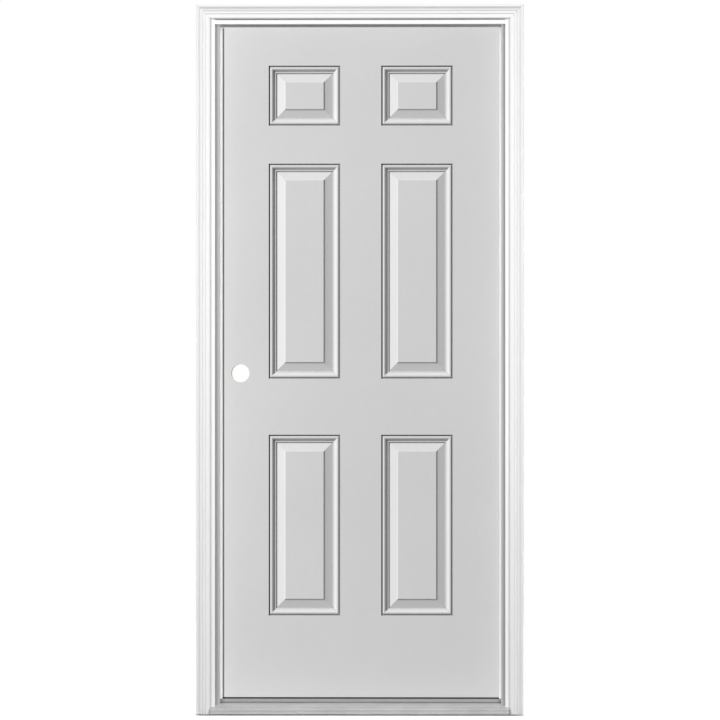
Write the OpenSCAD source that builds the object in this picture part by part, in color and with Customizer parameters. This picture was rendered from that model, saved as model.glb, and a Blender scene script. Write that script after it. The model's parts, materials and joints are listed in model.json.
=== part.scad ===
// Pre-hung, inswing, six-panel steel entry door: a foam-filled leaf on three butt hinges
// in a wood frame with brickmould, kerf-in weatherstrip and an aluminium-decked sill.
// Millimetres. +X is right as seen from outdoors, +Y runs into the house, +Z is up.
// Y = 0 is the outdoor edge of the jambs, Z = 0 the underside of the sill.

/* [Leaf] */
// Width of the door leaf
slab_w = 857.25; // [760:0.25:915]
// Height of the door leaf
slab_h = 2013; // [1900:0.5:2120]
// Thickness of the door leaf
slab_t = 44.45; // [41:0.05:48]
// Thickness of each pressed steel skin
skin_t = 0.6; // [0.45:0.05:1.2]
// Width of the skin flange that folds over each long edge of the leaf
flange_w = 9; // [6:0.5:9]
// Width of the wood stiles inside the leaf
stile_w = 30.6; // [25:0.2:45]
// Height of the top and bottom rails inside the leaf
inner_rail_h = 32; // [25:1:60]
// Height of the underside of the leaf above the underside of the sill
slab_lift = 47.6; // [46.5:0.1:52]

/* [Panels] */
// Width of the face from each edge of the leaf to its panels
face_stile = 154.2; // [140:0.1:175]
// Width of the upright between the two columns of panels
mullion_w = 122; // [100:0.2:140]
// Face height above the top row of panels
top_rail = 131.2; // [110:0.2:150]
// Height of the top panels
panel_top_h = 179.1; // [150:0.1:200]
// Height of the cross rail below the top panels
cross_rail = 112.9; // [90:0.1:130]
// Height of the lock rail below the middle panels
lock_rail = 166.6; // [130:0.2:190]
// Height of the bottom panels
panel_low_h = 538.9; // [460:0.1:560]
// Face height below the bottom row of panels
bottom_rail = 243.2; // [200:0.2:280]
// Width of the quirk pressed round the outline of a panel
quirk_w = 4.6; // [4:0.1:6]
// Depth of the quirk
quirk_d = 4; // [2.6:0.1:4.4]
// Width of the rounded bead inside the quirk
bead_w = 7.6; // [5:0.1:8]
// Width of the moulded edge, from the outline to the foot of the bevel
mould_w = 25.4; // [24:0.2:28]
// Depth of the pressed groove at the foot of the bevel
groove_d = 11.6; // [9:0.2:13]
// Width of the sloping bevel
bevel_w = 20.6; // [15:0.2:24]
// Height of the step from the bevel up to the raised field
field_step = 4; // [1:0.1:4.4]
// Depth of the raised field below the face
field_d = 0.8; // [0.2:0.1:2]

/* [Lock preparation] */
// Radius of the cross bore for the lock
lock_bore_r = 27; // [25:0.5:28]
// Distance from the edge of the leaf to the centre of the cross bore
backset = 69.85; // [60:0.05:71]
// Height of the cross bore above the underside of the leaf
lock_height = 965.2; // [900:0.2:1000]
// Radius of the latch bore in the edge
latch_bore_r = 12.7; // [11:0.1:13]
// Height of the faceplate mortise in the edge of the leaf
faceplate_h = 57.15; // [50:0.05:60]
// Depth of the faceplate mortise
faceplate_d = 3; // [2:0.2:4]
// Width of the faceplate mortise
faceplate_w = 25.4; // [25.4:0.1:26]
// Height of the strike mortise in the jamb
strike_h = 69.9; // [60:0.1:75]
// Width of the strike mortise
strike_w = 29.4; // [26:0.1:32]
// Depth of the strike mortise
strike_d = 1.8; // [1.2:0.1:2.5]
// Depth of the latch pocket behind the strike
strike_pocket_d = 16; // [10:1:18]
// Radius of the latch pocket
strike_pocket_r = 11; // [9:0.5:12]
// Width of the wood lock block inside the leaf
lock_block_w = 100; // [98:1:110]
// Height of the wood lock block
lock_block_h = 300; // [200:5:400]

/* [Frame] */
// Gap between the leaf and the frame at both sides and the head
leaf_gap = 3.175; // [2.4:0.025:4.5]
// Depth of the jambs, outdoors to indoors
jamb_d = 115.9; // [108:0.1:140]
// Thickness of the jambs beside the leaf
jamb_t = 22.2; // [19:0.1:26]
// Height of the stop above the rabbet
stop_h = 12.7; // [11:0.1:14]
// Room between the leaf and the stops for the weatherstrip
seal_space = 6.35; // [5:0.05:8]
// Depth of the outdoor rabbet on the side jambs
front_rabbet = 25.4; // [12:0.2:28]
// Width of the kerf for the weatherstrip
kerf_w = 3; // [2.6:0.1:3.4]
// Depth of the kerf
kerf_d = 10; // [8:0.5:12]
// Projection of the weatherstrip bulb past the face of the stop
bulb_out = 7.6; // [4:0.1:9]
// Working clearance between the soft seals and what they close against
seal_gap = 0.3; // [0.2:0.05:0.6]
// Setback of the door sweep from the faces of the leaf
sweep_side = 3; // [2:0.5:6]
// Setback of the door sweep from the edges of the leaf
sweep_end = 2; // [1:0.5:6]

/* [Brickmould] */
// Width of the brickmould
casing_w = 41.3; // [38:0.1:52]
// Thickness of the brickmould at its outer edge
casing_t = 31.75; // [28:0.05:36]
// Width of the thick outer fillet of the brickmould
fillet_w = 6.6; // [5:0.1:8]
// Width of the cove inside the fillet
cove_w = 10.6; // [8:0.1:14]
// Width of the bead inside the cove
torus_w = 9.6; // [7:0.1:12]
// Drop of the foot of the cove below the outer fillet
cove_drop = 8.6; // [7:0.1:10]
// Height of the bead above the inner flat
torus_h = 3.1; // [2:0.1:4]
// Drop of the inner flat below the outer fillet
flat_drop = 14.8; // [12:0.1:17]
// Width and depth of the fine quirks that part the fillet, cove, bead and flat
casing_quirk = 1.3; // [0.8:0.1:1.6]
// Open joint at the mitres of the brickmould
mitre_gap = 0.5; // [0:0.1:0.8]
// Setback of the side brickmould from the outdoor rabbet of the jamb
casing_reveal = 12.7; // [8:0.1:14]
// Setback of the head brickmould from the face of the head stop
head_reveal = 15.3; // [12:0.1:20]

/* [Sill] */
// Projection of the sill in front of the jambs
sill_out = 33; // [32:0.5:60]
// Height of the upright nosing
nosing_h = 16.5; // [14:0.5:20]
// Height of the deck where it meets the cap
deck_back_h = 31.5; // [29:0.5:33]
// Thickness of the aluminium deck
deck_t = 1.6; // [1.2:0.1:2.2]
// Thickness of the aluminium at the nosing
nosing_t = 2.6; // [2:0.1:3.2]
// Grooves along the upright nosing
nosing_grooves = 3; // [2:1:4]
// Grooves along the sloping deck
deck_grooves = 5; // [3:1:8]
// Spacing of the grooves along the deck
deck_pitch = 5.5; // [4:0.1:8]
// Width of the grooves in the nosing and deck
rib_groove_w = 1.6; // [1:0.1:1.8]
// Depth of the grooves in the nosing and deck
rib_groove_d = 1.1; // [0.4:0.1:1.1]
// Height of the ledge that carries the cap and the jamb feet
ledge_h = 22; // [18:0.5:24]
// Depth of the deck's rear leg below the ledge
deck_leg = 4; // [3:0.5:8]
// Room between the leaf and the sill cap for the sweep
sweep_space = 4.6; // [4:0.1:6]
// Overhang of the cap's lip over the deck
lip_out = 4.7; // [3:0.1:6]
// Open height between the deck and the underside of the lip
lip_gap = 2.6; // [1.5:0.1:4]
// Clearance round the sill cap and sill where they run between uprights
sill_clear = 0.3; // [0.1:0.1:1]

/* [Hinges] */
// Height of each hinge
hinge_h = 101.6; // [89:0.1:102]
// Width of each hinge plate from the knuckle side
hinge_plate_w = 31; // [28:0.2:34]
// Thickness of the hinge plates
hinge_t = 2.2; // [1.8:0.1:2.6]
// Outer radius of the knuckles
knuckle_r = 6.35; // [5.5:0.05:6.5]
// Radius of the hinge pin
pin_r = 3.15; // [2.8:0.05:3.6]
// Running clearance between the pin and the knuckle bores
pin_clear = 0.08; // [0.04:0.01:0.1]
// Stand-off of the hinge axis from the indoor face of the leaf
axis_off = 7; // [6.8:0.1:8]
// Distance from the top of the leaf to the top of the upper hinge
hinge_top = 178; // [150:1:200]
// Distance from the bottom of the leaf to the bottom of the lower hinge
hinge_low = 279; // [230:1:300]
// Length of the hinge screws in the jamb
jamb_screw_l = 19; // [15:0.5:21]
// Length of the hinge screws in the leaf
leaf_screw_l = 25; // [19:0.5:28]
// Distance from each end of a hinge to its first screw
screw_end = 14.2; // [12:0.1:20]
// Distance from the plate's buried edge to the first column of screws
screw_in = 8; // [7:0.5:9]
// Distance between the two columns of screws
screw_stagger = 11; // [9:0.5:12]
// Shank radius of the hinge and frame screws
screw_r = 2.1; // [1.8:0.1:2.4]
// Head radius of the hinge screws
screw_head_r = 4.4; // [3.8:0.1:4.8]

/* [Fixings] */
// Length of the screws that join the frame corners
frame_screw_l = 55; // [45:1:65]
// Depth of the filled nail heads below the flat of the brickmould
nail_set = 1.2; // [0.8:0.1:2]
// Radius of the brickmould nails
nail_r = 1.3; // [1:0.1:1.6]
// Distance from the foot of a side brickmould to its first nail
nail_foot = 90; // [60:5:150]
// Distance from the head opening to the last nail of a side brickmould
nail_top = 150; // [60:5:200]
// Distance from the side stops to the end nails of the head brickmould
nail_side = 60; // [30:5:120]
// Length of the brickmould nails
nail_l = 58; // [50:1:64]
// Nails along each side brickmould
nails_side = 7; // [5:1:9]
// Nails along the head brickmould
nails_head = 4; // [3:1:6]

/* [Hidden] */
eps = 0.01;
over = 1;                                    // overshoot of cutting shapes
reach = 60;                                  // size of cutting blocks
fit = 0.05;                                  // radial fit round screws and nails
slab_x = slab_w / 2;
slab_y1 = jamb_d;                            // indoor face, flush with the jambs
slab_y0 = jamb_d - slab_t;
slab_ym = (slab_y0 + slab_y1) / 2;
slab_z0 = slab_lift;
slab_z1 = slab_lift + slab_h;
core_w = slab_w - 2 * stile_w;               // between the stiles
core_t = slab_t - 2 * skin_t;                // between the skins
rabbet_x = slab_x + leaf_gap;
stop_x = rabbet_x - stop_h;
jamb_x = rabbet_x + jamb_t;
head_z = slab_z1 + leaf_gap;
head_stop_z = head_z - stop_h;
jamb_top = head_z + jamb_t;
shoulder_y = slab_y0 - seal_space;           // indoor face of the stops
kerf_off = 1.2;                              // kerf side to the rabbet
kerf_a = kerf_off + kerf_w;                  // far side of the kerf to the rabbet
bulb_d = slab_y0 - seal_gap - shoulder_y;
strip_in = 1;                                // setback of the strips from the rabbets
strip_edge = 0.6;                            // chamfer of the strips
fin_play = 0.3;                              // play of the strip's fin in its kerf
fin_short = 1;                               // the fin stops short of the kerf's floor
case_in_x = rabbet_x + casing_reveal;
case_out_x = case_in_x + casing_w;
case_in_z = head_stop_z + head_reveal;
case_out_z = case_in_z + casing_w;
casing_flat = casing_t - flat_drop;          // thickness at the inner flat
casing_edge = 0.8;                           // eased edges of the brickmould
nail_x = (case_in_x + jamb_x) / 2;
nail_z = (case_in_z + jamb_top) / 2;
nail_head_r = 2;
nail_head_h = 1.5;
cap_h = slab_lift - sweep_space;
deck_back_y = shoulder_y - 0.7;              // indoor face of the deck's rear leg
deck_rise = (deck_back_h - nosing_h) / (deck_back_y - deck_t + sill_out);
deck_in = 7;                                 // nosing to the first groove of the deck
nosing_edge = 1.2;
nosing_lift = 0.8;                           // the nosing hangs clear of the floor
cap_edge = 1.6;
sill_front_x = case_in_x - sill_clear;       // the sill runs between the brickmould legs
lock_x = -slab_x + backset;
lock_z = slab_z0 + lock_height;
axis_x = slab_x + leaf_gap / 2;
axis_y = slab_y1 + axis_off;
knuckles = 5;
knuckle_gap = 0.25;
pin_head_r = knuckle_r - 0.8;
pin_head_h = 2.2;
pin_dome_h = 1.2;
screw_land = 0.05;                           // straight rim of a screw head
screw_tip = 3;
screw_tip_r = 0.4;
hinge_low_z = slab_z0 + hinge_low;
hinge_top_z = slab_z1 - hinge_top - hinge_h;
hinge_zs = [hinge_low_z, (hinge_low_z + hinge_top_z) / 2, hinge_top_z];
plate_y0 = slab_y1 - hinge_plate_w;
frame_screw_ys = [front_rabbet / 2, (front_rabbet + shoulder_y) / 2, (shoulder_y + jamb_d) / 2];
sill_screw_ys = [(front_rabbet + deck_back_y) / 2, (shoulder_y + jamb_d) / 2];
panel_w = (slab_w - mullion_w) / 2 - face_stile;
panel_xs = [-(mullion_w + panel_w) / 2, (mullion_w + panel_w) / 2];
panel_mid_h = slab_h - top_rail - panel_top_h - cross_rail - lock_rail - panel_low_h - bottom_rail;
row_h = [panel_top_h, panel_mid_h, panel_low_h];
row_top = [
    slab_z1 - top_rail,
    slab_z0 + bottom_rail + panel_low_h + lock_rail + panel_mid_h,
    slab_z0 + bottom_rail + panel_low_h
];
bead_r = 6;
bead_d = 0.3;                                // crown of the panel bead below the face
quirk_wall = 1;                              // width of each steep wall of the quirk
quirk_fall = 0.4;                            // fall of the quirk's floor
ledge_w = 3.6;                               // narrow ledge above the groove
ledge_up = 2.8;                              // its height above the groove's floor
ledge_fall = 0.4;                            // fall of the ledge across its width
floor_w = 2.6;                               // flat floor of the groove
sweep_base = 1.4;
sweep_fins = 3;
sweep_root = 1.6;                            // thickness of a sweep fin at its root
sweep_tip = 1.2;                             // and at its tip

primer = [0.83, 0.83, 0.83];
white = [0.93, 0.93, 0.92];
pine = [0.80, 0.66, 0.45];
foam = [0.90, 0.85, 0.62];
alu = [0.74, 0.75, 0.77];
steel = [0.62, 0.62, 0.62];
seal = [0.78, 0.77, 0.75];
black = [0.25, 0.25, 0.26];
composite = [0.66, 0.64, 0.61];

// ---------- shared shapes ----------

function arc(cx, cy, r, a0, a1, n) =
    [for (i = [0:n]) [cx + r * cos(a0 + (a1 - a0) * i / n), cy + r * sin(a0 + (a1 - a0) * i / n)]];

// Points (y, z) swept along X for the given length, centred
module along_x(len) rotate([90, 0, 90]) linear_extrude(len, center = true) children();

// Points (x, y) swept up Z
module along_z(z0, z1) translate([0, 0, z0]) linear_extrude(z1 - z0) children();

module other_side() mirror([1, 0, 0]) children();

module both_sides() for (m = [0, 1]) mirror([m, 0, 0]) children();

// Pressed profile round a panel: [inset from the outline, depth below the face].
// Quirk, rounded bead, wall, ledge, groove, bevel and the step up to the field.
function panel_profile() =
    let(half = asin(bead_w / 2 / bead_r), ledge_u = mould_w - floor_w - ledge_up / 3)
    concat(
        [[0, 0], [quirk_wall, quirk_d - quirk_fall], [quirk_w - quirk_wall, quirk_d]],
        arc(quirk_w + bead_w / 2, bead_d + bead_r, bead_r, -90 - half, -90 + half, 4),
        [[ledge_u - ledge_w, groove_d - ledge_up - ledge_fall], [ledge_u, groove_d - ledge_up],
         [mould_w - floor_w, groove_d], [mould_w, groove_d],
         [mould_w + bevel_w, field_d + field_step],
         [mould_w + bevel_w + field_step, field_d]]);

// The same polyline moved t into the leaf, mitred at its corners
function seg_n(a, b) = let(d = b - a, l = norm(d)) [-d[1] / l, d[0] / l];
function shifted(p, t) = let(n = len(p)) [
    for (i = [0:n - 1])
        let(n1 = i == 0 ? [0, 1] : seg_n(p[i - 1], p[i]),
            n2 = i == n - 1 ? [0, 1] : seg_n(p[i], p[i + 1]))
        p[i] + t * (n1 + n2) / (1 + n1 * n2)];

// A panel-shaped volume, open end at the first point of the profile
module panel_volume(w, h, prof) {
    n = len(prof);
    pts = [for (q = prof) each [
        [-w / 2 + q[0], q[1], -h / 2 + q[0]], [w / 2 - q[0], q[1], -h / 2 + q[0]],
        [w / 2 - q[0], q[1], h / 2 - q[0]], [-w / 2 + q[0], q[1], h / 2 - q[0]]]];
    walls = [for (i = [0:n - 2]) for (j = [0:3])
        [4 * i + j, 4 * i + (j + 1) % 4, 4 * (i + 1) + (j + 1) % 4, 4 * (i + 1) + j]];
    last = 4 * (n - 1);
    polyhedron(pts, concat([[3, 2, 1, 0]], walls, [[last, last + 1, last + 2, last + 3]]));
}

// Air in front of the outdoor skin (level 0) or the skin's own back surface (level 1)
module panel_set(level) for (x = panel_xs) for (r = [0:2])
    translate([x, slab_y0, row_top[r] - row_h[r] / 2])
        let(p = level == 0 ? panel_profile() : shifted(panel_profile(), skin_t))
        panel_volume(panel_w, row_h[r],
            concat([[p[0][0], level == 0 ? -over : skin_t / 2]], p));

// Turn something made for the outdoor face over to the indoor face
module indoors() translate([0, 2 * slab_ym, 0]) mirror([0, 1, 0]) children();

module lock_bore() translate([lock_x, slab_y0 - over, lock_z]) rotate([-90, 0, 0])
    cylinder(r = lock_bore_r, h = slab_t + 2 * over, $fn = 96);

module latch_bore() translate([-slab_x - over, slab_ym, lock_z]) rotate([0, 90, 0])
    cylinder(r = latch_bore_r, h = backset + over, $fn = 64);

module faceplate_mortise() translate([-slab_x - over, slab_ym - faceplate_w / 2, lock_z - faceplate_h / 2])
    cube([faceplate_d + over, faceplate_w, faceplate_h]);

// Countersunk screw pointing along +X from the origin, its head flush
module screw(l) rotate([0, 90, 0]) {
    cylinder(r = screw_head_r, h = screw_land, $fn = 32);
    screw_body(l, 0);
}

// The hole for it, open at the head
module screw_hole(l) rotate([0, 90, 0]) {
    translate([0, 0, -over]) cylinder(r = screw_head_r + fit, h = over + screw_land, $fn = 32);
    translate([0, 0, -eps]) screw_body(l, fit);
}

module screw_body(l, g) translate([0, 0, screw_land]) {
    cylinder(r1 = screw_head_r + g, r2 = screw_r + g, h = screw_head_r - screw_r, $fn = 32);
    cylinder(r = screw_r + g, h = l - screw_tip, $fn = 24);
    translate([0, 0, l - screw_tip - eps])
        cylinder(r1 = screw_r + g, r2 = screw_tip_r, h = screw_tip + g, $fn = 24);
}

module hinge_screw_spots() for (z = hinge_zs) for (k = [0:3])
    translate([0, plate_y0 + screw_in + (k % 2) * screw_stagger,
               z + screw_end + k * (hinge_h - 2 * screw_end) / 3]) children();

// ---------- leaf ----------

module skin() color(primer) difference() {
    union() {
        translate([-slab_x, slab_y0, slab_z0]) cube([slab_w, skin_t, slab_h]);
        for (s = [-1, 1]) translate([s * (slab_x - skin_t / 2) - skin_t / 2, slab_y0, slab_z0])
            cube([skin_t, flange_w, slab_h]);
        panel_set(1);
    }
    panel_set(0);
    lock_bore();
}

module hinge_mortises() for (z = hinge_zs)
    translate([slab_x - hinge_t, plate_y0, z]) cube([hinge_t + over, hinge_plate_w + over, hinge_h]);

module exterior_skin() skin();

module interior_skin() difference() {
    indoors() skin();
    hinge_mortises();
}

// Room for the skin flanges along an edge at +X
module flange_room() for (y = [slab_y0 - over, slab_y1 - flange_w])
    translate([slab_x - skin_t, y, slab_z0 - over]) cube([skin_t + over, flange_w + over, slab_h + 2 * over]);

module stile_blank() difference() {
    translate([slab_x - stile_w, slab_y0 + skin_t, slab_z0]) cube([stile_w, core_t, slab_h]);
    flange_room();
}

module hinge_stile() color(pine) difference() {
    stile_blank();
    hinge_mortises();
    translate([slab_x, 0, 0]) hinge_screw_spots() other_side() screw_hole(leaf_screw_l);
}

module lock_stile() color(pine) difference() {
    other_side() stile_blank();
    latch_bore();
    faceplate_mortise();
}

module inner_rail(z) color(pine) translate([-slab_x + stile_w, slab_y0 + skin_t, z])
    cube([core_w, core_t, inner_rail_h]);

module top_rail_block() inner_rail(slab_z1 - inner_rail_h);
module bottom_rail_block() inner_rail(slab_z0);

module lock_block_blank() translate([-slab_x + stile_w, slab_y0 + skin_t, lock_z - lock_block_h / 2])
    cube([lock_block_w, core_t, lock_block_h]);

module lock_block() color(pine) difference() {
    lock_block_blank();
    lock_bore();
    latch_bore();
}

module foam_core() color(foam) difference() {
    translate([-slab_x + stile_w, slab_y0 + skin_t, slab_z0 + inner_rail_h])
        cube([core_w, core_t, slab_h - 2 * inner_rail_h]);
    lock_block_blank();
    panel_set(1);
    indoors() panel_set(1);
}

// Vinyl strip under the leaf with fins that wipe the sill cap
module door_sweep() color(black) along_x(slab_w - 2 * sweep_end) {
    y0 = slab_y0 + sweep_side;
    w = slab_t - 2 * sweep_side;
    translate([y0, slab_z0 - sweep_base]) square([w, sweep_base]);
    for (k = [0:sweep_fins - 1]) translate([y0 + k * (w - sweep_root) / (sweep_fins - 1), 0])
        polygon([[0, slab_z0 - sweep_base / 2], [(sweep_root - sweep_tip) / 2, cap_h + seal_gap],
                 [(sweep_root + sweep_tip) / 2, cap_h + seal_gap], [sweep_root, slab_z0 - sweep_base / 2]]);
}

// ---------- hinges ----------

module knuckle_run(z, odd) for (k = [0:knuckles - 1]) if ((k % 2 == 0) == odd)
    let(l = hinge_h / knuckles,
        a = k == 0 ? 0 : knuckle_gap / 2,
        b = k == knuckles - 1 ? 0 : knuckle_gap / 2)
    translate([0, 0, z + k * l + a]) linear_extrude(l - a - b) children();

// One hinge half at the axis; side +1 lies on the jamb, -1 on the leaf
module hinge_half(z, side) color(steel) {
    inner = leaf_gap / 2;
    face = side > 0 ? inner : -inner - hinge_t;
    difference() {
        union() {
            translate([axis_x + face, plate_y0, z]) cube([hinge_t, hinge_plate_w, hinge_h]);
            knuckle_run(z, side > 0) translate([axis_x, axis_y]) circle(r = knuckle_r, $fn = 64);
            knuckle_run(z, side > 0) translate([axis_x + face, slab_y1 - over])
                square([hinge_t, axis_off + over]);
        }
        translate([axis_x, axis_y, z - over])
            cylinder(r = pin_r + pin_clear, h = hinge_h + 2 * over, $fn = 48);
        if (side > 0) translate([axis_x + inner, 0, 0]) hinge_screw_spots() screw_hole(jamb_screw_l);
        else translate([axis_x - inner, 0, 0]) hinge_screw_spots() other_side() screw_hole(leaf_screw_l);
    }
}

// Loose pin with a flat button head resting on the top knuckle
module hinge_pin(z) color(steel) translate([axis_x, axis_y, z]) {
    cylinder(r = pin_r, h = hinge_h + pin_head_h / 2, $fn = 48);
    translate([0, 0, hinge_h]) cylinder(r = pin_head_r, h = pin_head_h, $fn = 48);
    translate([0, 0, hinge_h + pin_head_h - eps])
        cylinder(r1 = pin_head_r, r2 = pin_head_r - pin_dome_h, h = pin_dome_h, $fn = 48);
}

module hinge_screws_jamb() color(steel) translate([rabbet_x, 0, 0]) hinge_screw_spots() screw(jamb_screw_l);

module hinge_screws_leaf() color(steel) translate([slab_x, 0, 0]) hinge_screw_spots()
    other_side() screw(leaf_screw_l);

// ---------- frame ----------

// Side jamb section at +X: outdoor rabbet, stop, kerf, indoor rabbet
module side_jamb_section() polygon([
    [jamb_x, 0], [rabbet_x, 0], [rabbet_x, front_rabbet], [stop_x, front_rabbet],
    [stop_x, shoulder_y],
    [rabbet_x - kerf_a, shoulder_y], [rabbet_x - kerf_a, shoulder_y - kerf_d],
    [rabbet_x - kerf_off, shoulder_y - kerf_d], [rabbet_x - kerf_off, shoulder_y],
    [rabbet_x, shoulder_y], [rabbet_x, jamb_d], [jamb_x, jamb_d]]);

function deck_z(y) = nosing_h + deck_rise * (y + sill_out);

// Everything at or below the sill's top surface, as the jamb feet meet it
module below_sill() along_x(2 * jamb_x + reach) polygon([
    [-reach, -reach], [-reach, deck_z(-reach)], [deck_back_y, deck_z(deck_back_y)], [deck_back_y, ledge_h],
    [jamb_d + reach, ledge_h], [jamb_d + reach, -reach]]);

module frame_screw_spots() for (y = frame_screw_ys)
    translate([jamb_x, y, head_z + jamb_t / 2]) other_side() children();

module sill_screw_spots() for (y = sill_screw_ys)
    translate([rabbet_x + jamb_t / 2, y, 0]) rotate([0, -90, 0]) children();

module side_jamb_blank() difference() {
    along_z(0, jamb_top) side_jamb_section();
    below_sill();
    frame_screw_spots() screw_hole(frame_screw_l);
    sill_screw_spots() screw_hole(frame_screw_l);
    nail_spots() nail(fit);
}

module hinge_jamb() color(white) difference() {
    side_jamb_blank();
    for (z = hinge_zs) translate([rabbet_x - over, plate_y0, z])
        cube([hinge_t + over, hinge_plate_w + over, hinge_h]);
    translate([rabbet_x, 0, 0]) hinge_screw_spots() screw_hole(jamb_screw_l);
}

module strike_jamb() color(white) difference() {
    other_side() side_jamb_blank();
    translate([-rabbet_x - strike_d, slab_ym - strike_w / 2, lock_z - strike_h / 2])
        cube([strike_d + over, strike_w, strike_h]);
    translate([-rabbet_x - strike_pocket_d, slab_ym, lock_z]) rotate([0, 90, 0])
        cylinder(r = strike_pocket_r, h = strike_pocket_d, $fn = 48);
}

module head_jamb() color(white) difference() {
    along_x(2 * rabbet_x) polygon([
        [0, jamb_top], [0, head_stop_z], [shoulder_y, head_stop_z],
        [shoulder_y, head_z - kerf_a], [shoulder_y - kerf_d, head_z - kerf_a],
        [shoulder_y - kerf_d, head_z - kerf_off], [shoulder_y, head_z - kerf_off],
        [shoulder_y, head_z], [jamb_d, head_z], [jamb_d, jamb_top]]);
    both_sides() translate([stop_x, front_rabbet, head_stop_z - over])
        cube([reach, shoulder_y - front_rabbet, reach]);
    both_sides() frame_screw_spots() screw_hole(frame_screw_l);
    head_nail_spots() nail(fit);
}

// Brickmould section: u from the outer edge inwards, v outdoors. A thick fillet, a cove
// and a bead step down to the inner flat, parted by fine quirks.
function casing_section() =
    let(t = casing_t, f = casing_flat, q = casing_quirk, e = casing_edge,
        cove_u = fillet_w + q, torus_u = cove_u + cove_w, flat_u = torus_u + torus_w,
        cove_r = cove_w - 1, torus_r = torus_w / 2 + 0.4, nose_r = 6 * e)
    concat(
        [[0, 0], [0, t - e], [e, t], [fillet_w - e, t], [fillet_w, t - e],
         [fillet_w, t - 2 * q], [cove_u, t - 2 * q]],
        arc(torus_u - q, t - cove_drop + cove_r, cove_r, 205, 264, 5),
        [[torus_u, t - cove_drop - q], [torus_u, t - cove_drop - 2 * q]],
        arc(torus_u + torus_w / 2, f + torus_h - torus_r, torus_r, 142, 38, 6),
        [[flat_u - q / 2, f - q / 2], [flat_u + q / 2, f - q / 2], [flat_u + q / 2, f],
         [casing_w - nose_r, f]],
        arc(casing_w - nose_r, f - nose_r, nose_r, 80, 0, 4),
        [[casing_w, 0]]);

module casing_leg() intersection() {
    along_z(0, case_out_z) polygon([for (q = casing_section()) [case_out_x - q[0], -q[1]]]);
    translate([0, over, 0]) rotate([90, 0, 0]) linear_extrude(casing_t + 2 * over)
        polygon([[case_in_x - over, -over], [case_out_x + over, -over],
                 [case_out_x + over, case_out_z + over - mitre_gap],
                 [case_in_x - over, case_in_z - over - mitre_gap]]);
}

module brickmould_side() color(white) difference() {
    casing_leg();
    nail_spots() nail(fit);
}

module brickmould_head() color(white) difference() {
    intersection() {
        along_x(2 * case_out_x) polygon([for (q = casing_section()) [-q[1], case_out_z - q[0]]]);
        translate([0, over, 0]) rotate([90, 0, 0]) linear_extrude(casing_t + 2 * over)
            polygon([[case_in_x - over, case_in_z - over], [case_out_x + over, case_out_z + over],
                     [-case_out_x - over, case_out_z + over], [-case_in_x + over, case_in_z - over]]);
    }
    head_nail_spots() nail(fit);
}

// Finish nail along +Y, its head at the origin
module nail(g = 0) rotate([-90, 0, 0]) {
    cylinder(r = nail_head_r + g, h = nail_head_h, $fn = 24);
    translate([0, 0, nail_head_h - eps]) cylinder(r = nail_r + g, h = nail_l - nail_head_h, $fn = 24);
}

// Nail places along the side brickmould at +X and along the head; the heads are set and filled over
module nail_spots() for (k = [0:nails_side - 1])
    translate([nail_x, nail_set - casing_flat,
               nail_foot + k * (case_in_z - nail_foot - nail_top) / (nails_side - 1)]) children();

module head_nail_spots() for (k = [0:nails_head - 1])
    translate([(2 * k / (nails_head - 1) - 1) * (stop_x - nail_side), nail_set - casing_flat, nail_z])
        children();

module brickmould_nails() color(steel) {
    both_sides() nail_spots() nail();
    head_nail_spots() nail();
}

module frame_screws() color(steel) both_sides() {
    frame_screw_spots() screw(frame_screw_l);
    sill_screw_spots() screw(frame_screw_l);
}

// Weatherstrip section: rounded bulb on the stop shoulder and a fin in the kerf.
// a is measured from the rabbet towards the opening, b from the shoulder indoors.
function strip_section() = let(r = bulb_d / 2, a1 = stop_h + bulb_out) concat(
    [[strip_in, 0], [strip_in, bulb_d - strip_edge], [strip_in + strip_edge, bulb_d]],
    arc(a1 - r, r, r, 90, -90, 10),
    [[kerf_a - fin_play, 0], [kerf_a - fin_play, -kerf_d + fin_short],
     [kerf_off + fin_play, -kerf_d + fin_short], [kerf_off + fin_play, 0]]);

module weatherstrip_side() color(seal)
    along_z(cap_h + seal_gap, head_stop_z - bulb_out - seal_gap)
        polygon([for (q = strip_section()) [rabbet_x - q[0], shoulder_y + q[1]]]);

// The head strip's fin stops short of the side stops; its bulb runs on over them
module weatherstrip_head() color(seal) difference() {
    along_x(2 * (rabbet_x - strip_in))
        polygon([for (q = strip_section()) [shoulder_y + q[1], head_z - q[0]]]);
    both_sides() translate([stop_x - seal_gap, shoulder_y - kerf_d, head_stop_z])
        cube([stop_h + seal_gap, kerf_d, stop_h]);
}

// ---------- sill ----------

// Front corners of the sill stop between the brickmould legs
module sill_horn_cuts() both_sides() translate([sill_front_x, -sill_out - over, -over])
    cube([reach, sill_out + over, reach]);

module sill_substrate() color(composite) difference() {
    along_x(2 * jamb_x) polygon([
        [nosing_t - sill_out, 0], [nosing_t - sill_out, deck_z(nosing_t - sill_out) - deck_t],
        [deck_back_y - deck_t, deck_z(deck_back_y - deck_t) - deck_t],
        [deck_back_y - deck_t, ledge_h - deck_leg], [deck_back_y, ledge_h - deck_leg],
        [deck_back_y, ledge_h], [jamb_d, ledge_h], [jamb_d, 0]]);
    sill_horn_cuts();
    both_sides() sill_screw_spots() screw_hole(frame_screw_l);
}

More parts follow.
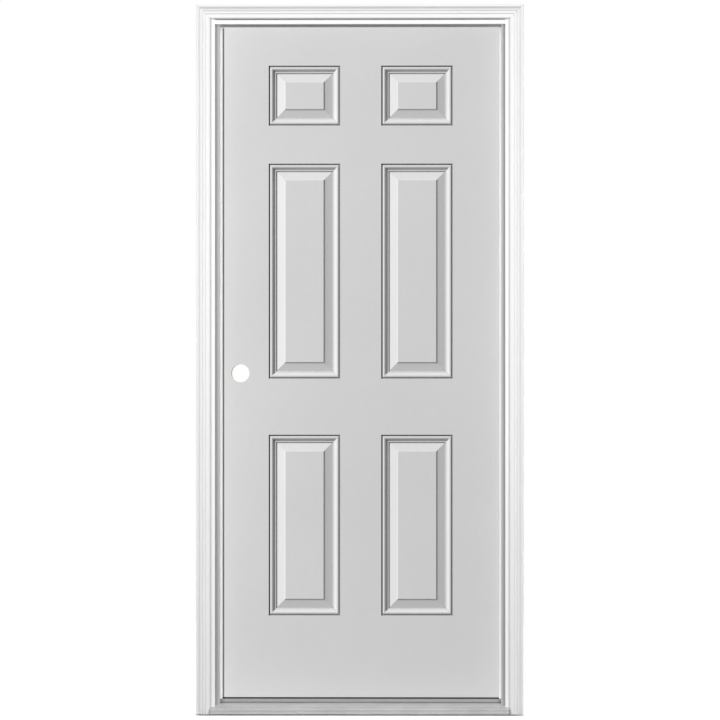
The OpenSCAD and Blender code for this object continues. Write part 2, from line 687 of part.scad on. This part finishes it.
// Extruded cover: grooved nosing, sloping grooved deck and a rear leg into the substrate
module sill_deck() color(alu) difference() {
    along_x(2 * jamb_x) difference() {
        polygon([[-sill_out, nosing_lift], [-sill_out, nosing_h - nosing_edge],
                 [nosing_edge - sill_out, deck_z(nosing_edge - sill_out)],
                 [deck_back_y, deck_z(deck_back_y)], [deck_back_y, ledge_h - deck_leg],
                 [deck_back_y - deck_t, ledge_h - deck_leg],
                 [deck_back_y - deck_t, deck_z(deck_back_y - deck_t) - deck_t],
                 [nosing_t - sill_out, deck_z(nosing_t - sill_out) - deck_t],
                 [nosing_t - sill_out, nosing_lift]]);
        for (k = [1:nosing_grooves])
            translate([-sill_out - over, (nosing_h * k / (nosing_grooves + 1)) - rib_groove_w / 2])
                square([over + rib_groove_d, rib_groove_w]);
        for (k = [0:deck_grooves - 1]) let(y = deck_in - sill_out + k * deck_pitch)
            translate([y, deck_z(y) - rib_groove_d]) square([rib_groove_w, rib_groove_d + over]);
    }
    sill_horn_cuts();
    both_sides() sill_screw_spots() screw_hole(frame_screw_l);
}

// Cap that the sweep closes on: a lip over the deck between the stops, its body between the rabbets
module sill_cap() color(composite) difference() {
    lip_y = deck_back_y - lip_out;
    along_x(2 * (rabbet_x - sill_clear)) polygon([
        [deck_back_y, ledge_h], [deck_back_y, deck_back_h + lip_gap], [lip_y, deck_back_h + lip_gap],
        [lip_y, cap_h - cap_edge], [lip_y + cap_edge, cap_h], [jamb_d - cap_edge, cap_h],
        [jamb_d, cap_h - cap_edge], [jamb_d, ledge_h]]);
    both_sides() translate([stop_x - sill_clear, shoulder_y - reach, 0])
        cube([reach, reach + sill_clear, reach]);
}

// ---------- nodes ----------

hinge_jamb();
strike_jamb();
head_jamb();
brickmould_side();  // brickmould_hinge_side
other_side() brickmould_side();  // brickmould_strike_side
brickmould_head();
brickmould_nails();
frame_screws();
weatherstrip_side();  // weatherstrip_hinge_side
other_side() weatherstrip_side();  // weatherstrip_strike_side
weatherstrip_head();
sill_substrate();
sill_deck();
sill_cap();
hinge_half(hinge_zs[0], 1);  // jamb_hinge_bottom
hinge_half(hinge_zs[1], 1);  // jamb_hinge_middle
hinge_half(hinge_zs[2], 1);  // jamb_hinge_top
hinge_pin(hinge_zs[0]);  // hinge_pin_bottom
hinge_pin(hinge_zs[1]);  // hinge_pin_middle
hinge_pin(hinge_zs[2]);  // hinge_pin_top
hinge_screws_jamb();
exterior_skin();
interior_skin();
hinge_stile();
lock_stile();
top_rail_block();  // top_rail
bottom_rail_block();  // bottom_rail
lock_block();
foam_core();
door_sweep();
hinge_half(hinge_zs[0], -1);  // leaf_hinge_bottom
hinge_half(hinge_zs[1], -1);  // leaf_hinge_middle
hinge_half(hinge_zs[2], -1);  // leaf_hinge_top
hinge_screws_leaf();
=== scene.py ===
import json
import math

import bpy
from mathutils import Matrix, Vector


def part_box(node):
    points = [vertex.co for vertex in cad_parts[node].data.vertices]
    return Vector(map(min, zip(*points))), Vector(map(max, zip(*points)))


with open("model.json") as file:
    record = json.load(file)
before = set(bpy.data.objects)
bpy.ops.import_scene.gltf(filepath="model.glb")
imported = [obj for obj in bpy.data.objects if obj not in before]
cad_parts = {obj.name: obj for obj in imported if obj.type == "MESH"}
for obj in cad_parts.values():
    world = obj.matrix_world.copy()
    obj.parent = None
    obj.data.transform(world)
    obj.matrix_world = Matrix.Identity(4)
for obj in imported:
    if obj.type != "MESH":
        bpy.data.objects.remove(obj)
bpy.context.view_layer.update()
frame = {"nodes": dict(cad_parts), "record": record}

# ---------- places in the frame, in metres ----------

LEAF_FACE_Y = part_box("exterior_skin")[0].y
HEAD_TOP_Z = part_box("brickmould_head")[1].z
SILL_FOOT_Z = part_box("sill_deck")[0].z
MIDDLE = Vector((0.0, LEAF_FACE_Y, (HEAD_TOP_Z + SILL_FOOT_Z) / 2))

# Outdoor face of the stops, measured from the outdoor edge of the jambs
STOP_FACE_Y = 0.0254

BODIES = frame["record"]["behaviour"]["bodies"]

# Most of what a noise texture gives lies between these two values
NOISE_LOW, NOISE_HIGH = 0.3, 0.7


# ---------- node helpers ----------

class Shader:
    """One procedural material: a principled shader and short calls that add nodes to it."""

    def __init__(self, name):
        self.mat = bpy.data.materials.new(name)
        self.mat.use_nodes = True
        self.tree = self.mat.node_tree
        self.bsdf = self.tree.nodes["Principled BSDF"]
        self.coords = self.tree.nodes.new("ShaderNodeTexCoord").outputs["Object"]
        self.normal = None

    def node(self, kind, **settings):
        made = self.tree.nodes.new(kind)
        for key, value in settings.items():
            setattr(made, key, value)
        return made

    def link(self, source, target):
        self.tree.links.new(source, target)

    def put(self, socket, value):
        """A link if value is an output, otherwise a constant on the socket."""
        if isinstance(value, bpy.types.NodeSocket):
            self.link(value, socket)
        else:
            socket.default_value = value

    def set(self, **values):
        for key, value in values.items():
            self.put(self.bsdf.inputs[key.replace("_", " ")], value)

    def stretched(self, scale):
        """The object's coordinates times a scale per axis."""
        mapping = self.node("ShaderNodeMapping")
        self.link(self.coords, mapping.inputs["Vector"])
        mapping.inputs["Scale"].default_value = scale
        return mapping.outputs["Vector"]

    def noise(self, scale, detail, rough=0.5, stretch=None):
        made = self.node("ShaderNodeTexNoise")
        self.link(self.stretched(stretch) if stretch else self.coords, made.inputs["Vector"])
        made.inputs["Scale"].default_value = scale
        made.inputs["Detail"].default_value = detail
        made.inputs["Roughness"].default_value = rough
        return made.outputs["Fac"]

    def math(self, operation, a, b):
        made = self.node("ShaderNodeMath", operation=operation)
        self.put(made.inputs[0], a)
        self.put(made.inputs[1], b)
        return made.outputs[0]

    def both(self, a, share, b):
        """share of a and the rest of b."""
        return self.math("ADD", self.math("MULTIPLY", a, share), self.math("MULTIPLY", b, 1 - share))

    def remap(self, value, low, high, to_low, to_high):
        made = self.node("ShaderNodeMapRange")
        self.put(made.inputs["Value"], value)
        limits = {"From Min": low, "From Max": high, "To Min": to_low, "To Max": to_high}
        for key, number in limits.items():
            made.inputs[key].default_value = number
        return made.outputs["Result"]

    def spread(self, noise, to_low=0.0, to_high=1.0):
        """A noise spread over the whole of a range."""
        return self.remap(noise, NOISE_LOW, NOISE_HIGH, to_low, to_high)

    def mix(self, factor, a, b):
        made = self.node("ShaderNodeMix", data_type="RGBA")
        self.put(made.inputs[0], factor)
        self.put(made.inputs[6], a)
        self.put(made.inputs[7], b)
        return made.outputs[2]

    def bump(self, height, depth):
        made = self.node("ShaderNodeBump")
        self.put(made.inputs["Height"], height)
        made.inputs["Distance"].default_value = depth
        if self.normal is not None:
            self.link(self.normal, made.inputs["Normal"])
        self.normal = made.outputs["Normal"]
        self.link(self.normal, self.bsdf.inputs["Normal"])

    def painted_crevice_shade(self, colour, dark, reach, own_shape=True):
        """Painted shade: turns colour to dark in gaps and inner corners up to reach metres across, where
        shade falls.
        """
        made = self.node("ShaderNodeAmbientOcclusion", samples=8, only_local=own_shape)
        made.inputs["Distance"].default_value = reach
        closed, open_air = 0.4, 0.9
        return self.mix(self.remap(made.outputs["AO"], closed, open_air, 0.0, 1.0), dark, colour)

    def axis(self, letter):
        made = self.node("ShaderNodeSeparateXYZ")
        self.link(self.coords, made.inputs[0])
        return made.outputs["XYZ".index(letter)]


def grey(value, warmth=0.0):
    return (value * (1 + warmth), value, value * (1 - warmth), 1.0)


# ---------- materials ----------

def leaf_primer():
    """Satin factory primer on pressed steel: faint mottling, orange peel, a slow sheet waviness, and
    painted shade in the pressed grooves.
    """
    s = Shader("leaf_primer")
    cloud = s.noise(2.2, detail=2.0)
    mottle = s.noise(60.0, detail=4.0, rough=0.6)
    colour = s.mix(s.spread(s.both(cloud, 0.7, mottle)), grey(0.594), grey(0.622))
    # Painted shade: the pressed grooves and inner corners turn near black, standing in for the shade that
    # falls in them.
    colour = s.painted_crevice_shade(colour, grey(0.06), reach=0.0055)
    s.set(Base_Color=colour, Roughness=s.spread(mottle, 0.42, 0.52), Specular_IOR_Level=0.4)
    s.bump(s.noise(5.0, detail=1.0), depth=0.0006)
    s.bump(s.noise(700.0, detail=2.0), depth=0.00006)
    return s.mat


def stop_shade_mask(s):
    """1 on the outdoor face of the stops and 0 in front of it and behind it: where painted shade goes."""
    y = s.axis("Y")
    reached = s.remap(y, STOP_FACE_Y - 0.006, STOP_FACE_Y - 0.001, 0.0, 1.0)
    passed = s.remap(y, STOP_FACE_Y + 0.001, STOP_FACE_Y + 0.004, 1.0, 0.0)
    return s.math("MULTIPLY", reached, passed)


def painted_wood(name, along, value, stop_shade_value=None):
    """White primer on moulded pine: long faint grain under the paint and a soft brushed sheen.
    The last argument is painted shade: a greyer tone on the outdoor face of the stops, standing in for
    the shade in the recess in front of them."""
    s = Shader(name)
    grain_stretch = [0.02 if letter == along else 1.0 for letter in "XYZ"]
    grain = s.noise(420.0, detail=4.0, rough=0.6, stretch=grain_stretch)
    cloud = s.noise(3.0, detail=2.0)
    colour = s.mix(s.spread(s.both(grain, 0.5, cloud)), grey(value * 0.97), grey(value))
    if stop_shade_value:
        # Painted shade: the outdoor face of the stops turns greyer, for the shade in the rabbet in front
        # of them.
        colour = s.mix(stop_shade_mask(s), colour, grey(stop_shade_value))
    s.set(Base_Color=colour, Roughness=s.spread(grain, 0.46, 0.58), Specular_IOR_Level=0.4)
    s.bump(grain, depth=0.00012)
    return s.mat


def pale_seal():
    """Foam-filled vinyl seal: matt, finely pebbled, with faint marks along its length, and painted shade
    where it nears the stop and the leaf.
    """
    s = Shader("weatherstrip")
    pebble = s.noise(1500.0, detail=2.0)
    drag = s.noise(300.0, detail=3.0, stretch=(1.0, 1.0, 0.03))
    colour = s.mix(s.spread(drag), grey(0.88), grey(0.94))
    # Painted shade: the seal darkens near the pieces beside it, for the shade in those narrow gaps.
    colour = s.painted_crevice_shade(colour, grey(0.40), reach=0.002, own_shape=False)
    s.set(Base_Color=colour, Roughness=0.72, Specular_IOR_Level=0.3)
    s.bump(pebble, depth=0.00008)
    return s.mat


def mill_aluminium():
    """Mill-finish extrusion: die lines along X, cloudy oxide, and painted shade in the grooves."""
    s = Shader("sill_metal")
    lines = s.noise(900.0, detail=3.0, rough=0.6, stretch=(0.01, 1.0, 1.0))
    cloud = s.noise(14.0, detail=4.0)
    colour = s.mix(s.spread(cloud), grey(0.64), grey(0.74))
    # Painted shade: the grooves and inner corners darken, standing in for the shade that falls in them.
    colour = s.painted_crevice_shade(colour, grey(0.34), reach=0.002)
    s.set(Base_Color=colour, Metallic=0.35, Roughness=s.spread(lines, 0.36, 0.52))
    s.bump(lines, depth=0.00008)
    return s.mat


def grey_composite(name, value):
    """Extruded wood-filled composite: fine fibres along X, matt."""
    s = Shader(name)
    fibre = s.noise(500.0, detail=4.0, rough=0.6, stretch=(0.06, 1.0, 1.0))
    speck = s.noise(900.0, detail=2.0)
    contrast = s.remap(s.both(fibre, 0.6, speck), 0.35, 0.65, 0.0, 1.0)
    colour = s.mix(contrast, grey(value * 0.9), grey(value * 1.1))
    s.set(Base_Color=colour, Roughness=0.6)
    s.bump(fibre, depth=0.0001)
    return s.mat


def plated_steel(name, value):
    """Zinc-plated steel: a fine tumbled grain and slight tonal drift."""
    s = Shader(name)
    tumble = s.noise(1200.0, detail=3.0, rough=0.6, stretch=(1.0, 1.0, 0.2))
    cloud = s.noise(30.0, detail=3.0)
    colour = s.mix(s.spread(cloud), grey(value * 0.9, warmth=0.01), grey(value, warmth=0.01))
    s.set(Base_Color=colour, Metallic=1.0, Roughness=s.spread(tumble, 0.26, 0.42))
    s.bump(tumble, depth=0.00003)
    return s.mat


def bare_pine():
    """Unpainted pine: growth rings stretched along the grain, pores and soft pale earlywood."""
    s = Shader("bare_wood")
    rings = s.node("ShaderNodeTexWave", wave_type="RINGS", rings_direction="Z")
    s.link(s.stretched((1.0, 1.0, 0.03)), rings.inputs["Vector"])
    rings.inputs["Scale"].default_value = 46.0
    rings.inputs["Distortion"].default_value = 3.5
    rings.inputs["Detail"].default_value = 3.0
    pores = s.noise(700.0, detail=3.0, rough=0.6, stretch=(1.0, 1.0, 0.04))
    tone = s.both(rings.outputs["Fac"], 0.7, pores)
    colour = s.mix(tone, (0.66, 0.47, 0.27, 1.0), (0.78, 0.62, 0.40, 1.0))
    s.set(Base_Color=colour, Roughness=0.62)
    s.bump(pores, depth=0.0001)
    return s.mat


def core_foam():
    """Rigid polyurethane foam: pale, full of small cells."""
    s = Shader("foam")
    cells = s.node("ShaderNodeTexVoronoi")
    s.link(s.coords, cells.inputs["Vector"])
    cells.inputs["Scale"].default_value = 900.0
    hollow = cells.outputs["Distance"]
    tone = s.remap(hollow, 0.0, 0.7, 0.0, 1.0)
    colour = s.mix(tone, (0.80, 0.72, 0.45, 1.0), (0.66, 0.56, 0.30, 1.0))
    s.set(Base_Color=colour, Roughness=0.85)
    s.bump(hollow, depth=0.0003)
    return s.mat


def dark_vinyl():
    """Extruded dark vinyl: matt, with lines from the die along X."""
    s = Shader("sweep_vinyl")
    lines = s.noise(800.0, detail=2.0, stretch=(0.01, 1.0, 1.0))
    colour = s.mix(s.spread(lines), grey(0.030), grey(0.055))
    s.set(Base_Color=colour, Roughness=0.55)
    s.bump(lines, depth=0.0001)
    return s.mat


MATERIALS = {
    "leaf_primer": leaf_primer(),
    "frame_paint": painted_wood("frame_paint", "Z", 0.90, stop_shade_value=0.46),
    "head_paint": painted_wood("head_paint", "X", 0.88),
    "casing_paint": painted_wood("casing_paint", "Z", 0.85),
    "casing_head_paint": painted_wood("casing_head_paint", "X", 0.85),
    "weatherstrip": pale_seal(),
    "sill_core": grey_composite("sill_core", 0.30),
    "sill_metal": mill_aluminium(),
    "sill_cap": grey_composite("sill_cap", 0.34),
    "hinge_metal": plated_steel("hinge_metal", 0.66),
    "fixings": plated_steel("fixings", 0.60),
    "bare_wood": bare_pine(),
    "foam": core_foam(),
    "sweep_vinyl": dark_vinyl(),
}

# The pieces whose grain runs across the door, and the paint that they take instead of their slot's
ACROSS = {"head_jamb": "head_paint", "brickmould_head": "casing_head_paint"}


def dress_nodes():
    """Every CAD node keeps its mesh and takes the material of its slot in the record."""
    slots = {part["node"]: part["material_slot"] for part in frame["record"]["subparts"]}
    for name, node in frame["nodes"].items():
        node.data.materials.clear()
        node.data.materials.append(MATERIALS[ACROSS.get(name, slots[name])])


# ---------- studio ----------

def floor():
    """A plain pale floor under the sill. It gives no light back, so the door keeps its own shading."""
    half = 9.0
    gap = 0.0014
    z = SILL_FOOT_Z - gap
    mesh = bpy.data.meshes.new("floor")
    corners = [(-half, -half, z), (half, -half, z), (half, half, z), (-half, half, z)]
    mesh.from_pydata(corners, [], [(0, 1, 2, 3)])
    plane = bpy.data.objects.new("floor", mesh)
    bpy.context.scene.collection.objects.link(plane)
    s = Shader("floor_paper")
    paper = s.mix(s.noise(8.0, detail=3.0), grey(0.86), grey(0.89))
    s.set(Base_Color=paper, Roughness=0.9, Specular_IOR_Level=0.1)
    plane.data.materials.append(s.mat)
    plane.visible_diffuse = False
    plane.visible_glossy = False
    return plane


def white_surround(seen, lit):
    """A white world: how bright the camera sees it, and the softer light that it gives."""
    world = bpy.data.worlds.new("surround")
    world.use_nodes = True
    tree = world.node_tree
    tree.nodes.clear()
    out = tree.nodes.new("ShaderNodeOutputWorld")
    mix = tree.nodes.new("ShaderNodeMixShader")
    path = tree.nodes.new("ShaderNodeLightPath")
    tree.links.new(path.outputs["Is Camera Ray"], mix.inputs[0])
    for slot, strength in ((1, lit), (2, seen)):
        background = tree.nodes.new("ShaderNodeBackground")
        background.inputs["Color"].default_value = (1, 1, 1, 1)
        background.inputs["Strength"].default_value = strength
        tree.links.new(background.outputs[0], mix.inputs[slot])
    tree.links.new(mix.outputs[0], out.inputs["Surface"])
    bpy.context.scene.world = world


def group(name, objects):
    """A collection that is in no scene: it only says what a lamp lights, or what shades it."""
    made = bpy.data.collections.new(name)
    for thing in objects:
        made.objects.link(thing)
    return made


def place_lamp(data, towards, distance, lights, shadows_from):
    """Hangs a lamp in a direction from the door's middle, aimed at it, for chosen pieces only."""
    lamp = bpy.data.objects.new(data.name, data)
    aim = Vector(towards).normalized()
    lamp.rotation_euler = aim.to_track_quat("Z", "Y").to_euler()
    lamp.location = MIDDLE + aim * distance
    bpy.context.scene.collection.objects.link(lamp)
    lamp.light_linking.receiver_collection = lights
    lamp.light_linking.blocker_collection = shadows_from


def sun(name, towards, strength, spread, lights, shadows_from):
    """A distant lamp with parallel light, its disc spread degrees across."""
    data = bpy.data.lights.new(name, "SUN")
    data.energy = strength
    data.angle = math.radians(spread)
    clear_of_door = 3.0
    place_lamp(data, towards, clear_of_door, lights, shadows_from)


def softbox(name, towards, distance, strength, size, lights, shadows_from):
    """A round lamp at a real distance; strength is what it gives at the door's middle, as a sun's is."""
    data = bpy.data.lights.new(name, "AREA")
    data.shape = "DISK"
    data.size = size
    data.energy = strength * math.pi * distance ** 2
    place_lamp(data, towards, distance, lights, shadows_from)


def light_leaf(leaf, leaf_and_seals):
    """From the upper left, so the pressed panels read; the seals shade the leaf's edge."""
    softbox("leaf_key", (-1.0, -1.05, 1.0), distance=26.0, strength=3.55, size=2.4,
            lights=leaf, shadows_from=leaf_and_seals)
    softbox("leaf_side", (-1.3, -1.05, 0.1), distance=5.5, strength=0.95, size=0.5,
            lights=leaf, shadows_from=leaf_and_seals)


def light_frame(upright, across, fixed, door):
    """From both sides alike. What runs across the head is lit from higher up, for its shadow lines."""
    for side in (-1.0, 1.0):
        from_side = (side * 0.35, -1.0, 0.3)
        sun("frame_side", from_side, strength=0.62, spread=9, lights=upright, shadows_from=fixed)
        softbox("frame_high", (side * 0.4, -1.0, 0.3), distance=3.0, strength=0.92, size=0.5,
                lights=upright, shadows_from=fixed)
        sun("head_side", from_side, strength=0.74, spread=9, lights=across, shadows_from=fixed)
        softbox("head_high", (side * 0.4, -1.0, 0.55), distance=4.2, strength=0.76, size=0.7,
                lights=across, shadows_from=fixed)
        sun("frame_back", (side, 0.8, 0.35), strength=1.5, spread=15, lights=fixed, shadows_from=door)


def lighting(ground):
    """Plain soft light, with each lamp linked to the pieces that it is for."""
    nodes = frame["nodes"]
    leaf = [nodes[name] for name in BODIES["door_leaf"]]
    fixed = [nodes[name] for name in BODIES["frame"]]
    seals = [nodes["weatherstrip_hinge_side"], nodes["weatherstrip_strike_side"]]
    head = [nodes["head_jamb"], nodes["brickmould_head"], nodes["weatherstrip_head"]]
    leaf_only = group("leaf_pieces", leaf)
    door = group("door_pieces", leaf + fixed)
    side_seals = group("seals", seals)
    upright = group("upright_pieces", [piece for piece in fixed if piece not in head])
    light_leaf(leaf_only, group("leaf_and_seals", leaf + seals))
    sun("seal_front", (0.0, -1.0, 0.45), strength=0.75, spread=9,
        lights=side_seals, shadows_from=side_seals)
    light_frame(upright, group("head_pieces", head), group("frame_pieces", fixed), door)
    sun("leaf_back", (0.5, 1.0, 0.8), strength=3.2, spread=20, lights=leaf_only, shadows_from=door)
    sun("floor_top", (0.0, 0.05, 1.0), strength=3.9, spread=2,
        lights=group("ground", [ground]), shadows_from=door)
    white_surround(seen=1.0, lit=0.16)


def camera():
    """Far back and all but square-on, a hair to the hinge side, so that the door's edges stay upright."""
    distance = 28.0
    height_seen = 2.1397
    centre_z = 1.0523
    turn = math.radians(1.8)
    data = bpy.data.cameras.new("camera")
    data.sensor_width = 36.0
    data.lens = data.sensor_width * distance / height_seen
    data.clip_end = 100.0
    cam = bpy.data.objects.new("camera", data)
    cam.location = (distance * math.sin(turn), -distance * math.cos(turn), centre_z)
    cam.rotation_euler = (math.radians(90), 0, turn)
    bpy.context.scene.collection.objects.link(cam)
    bpy.context.scene.camera = cam


dress_nodes()
lighting(floor())
camera()
bpy.context.scene.view_settings.view_transform = "Standard"
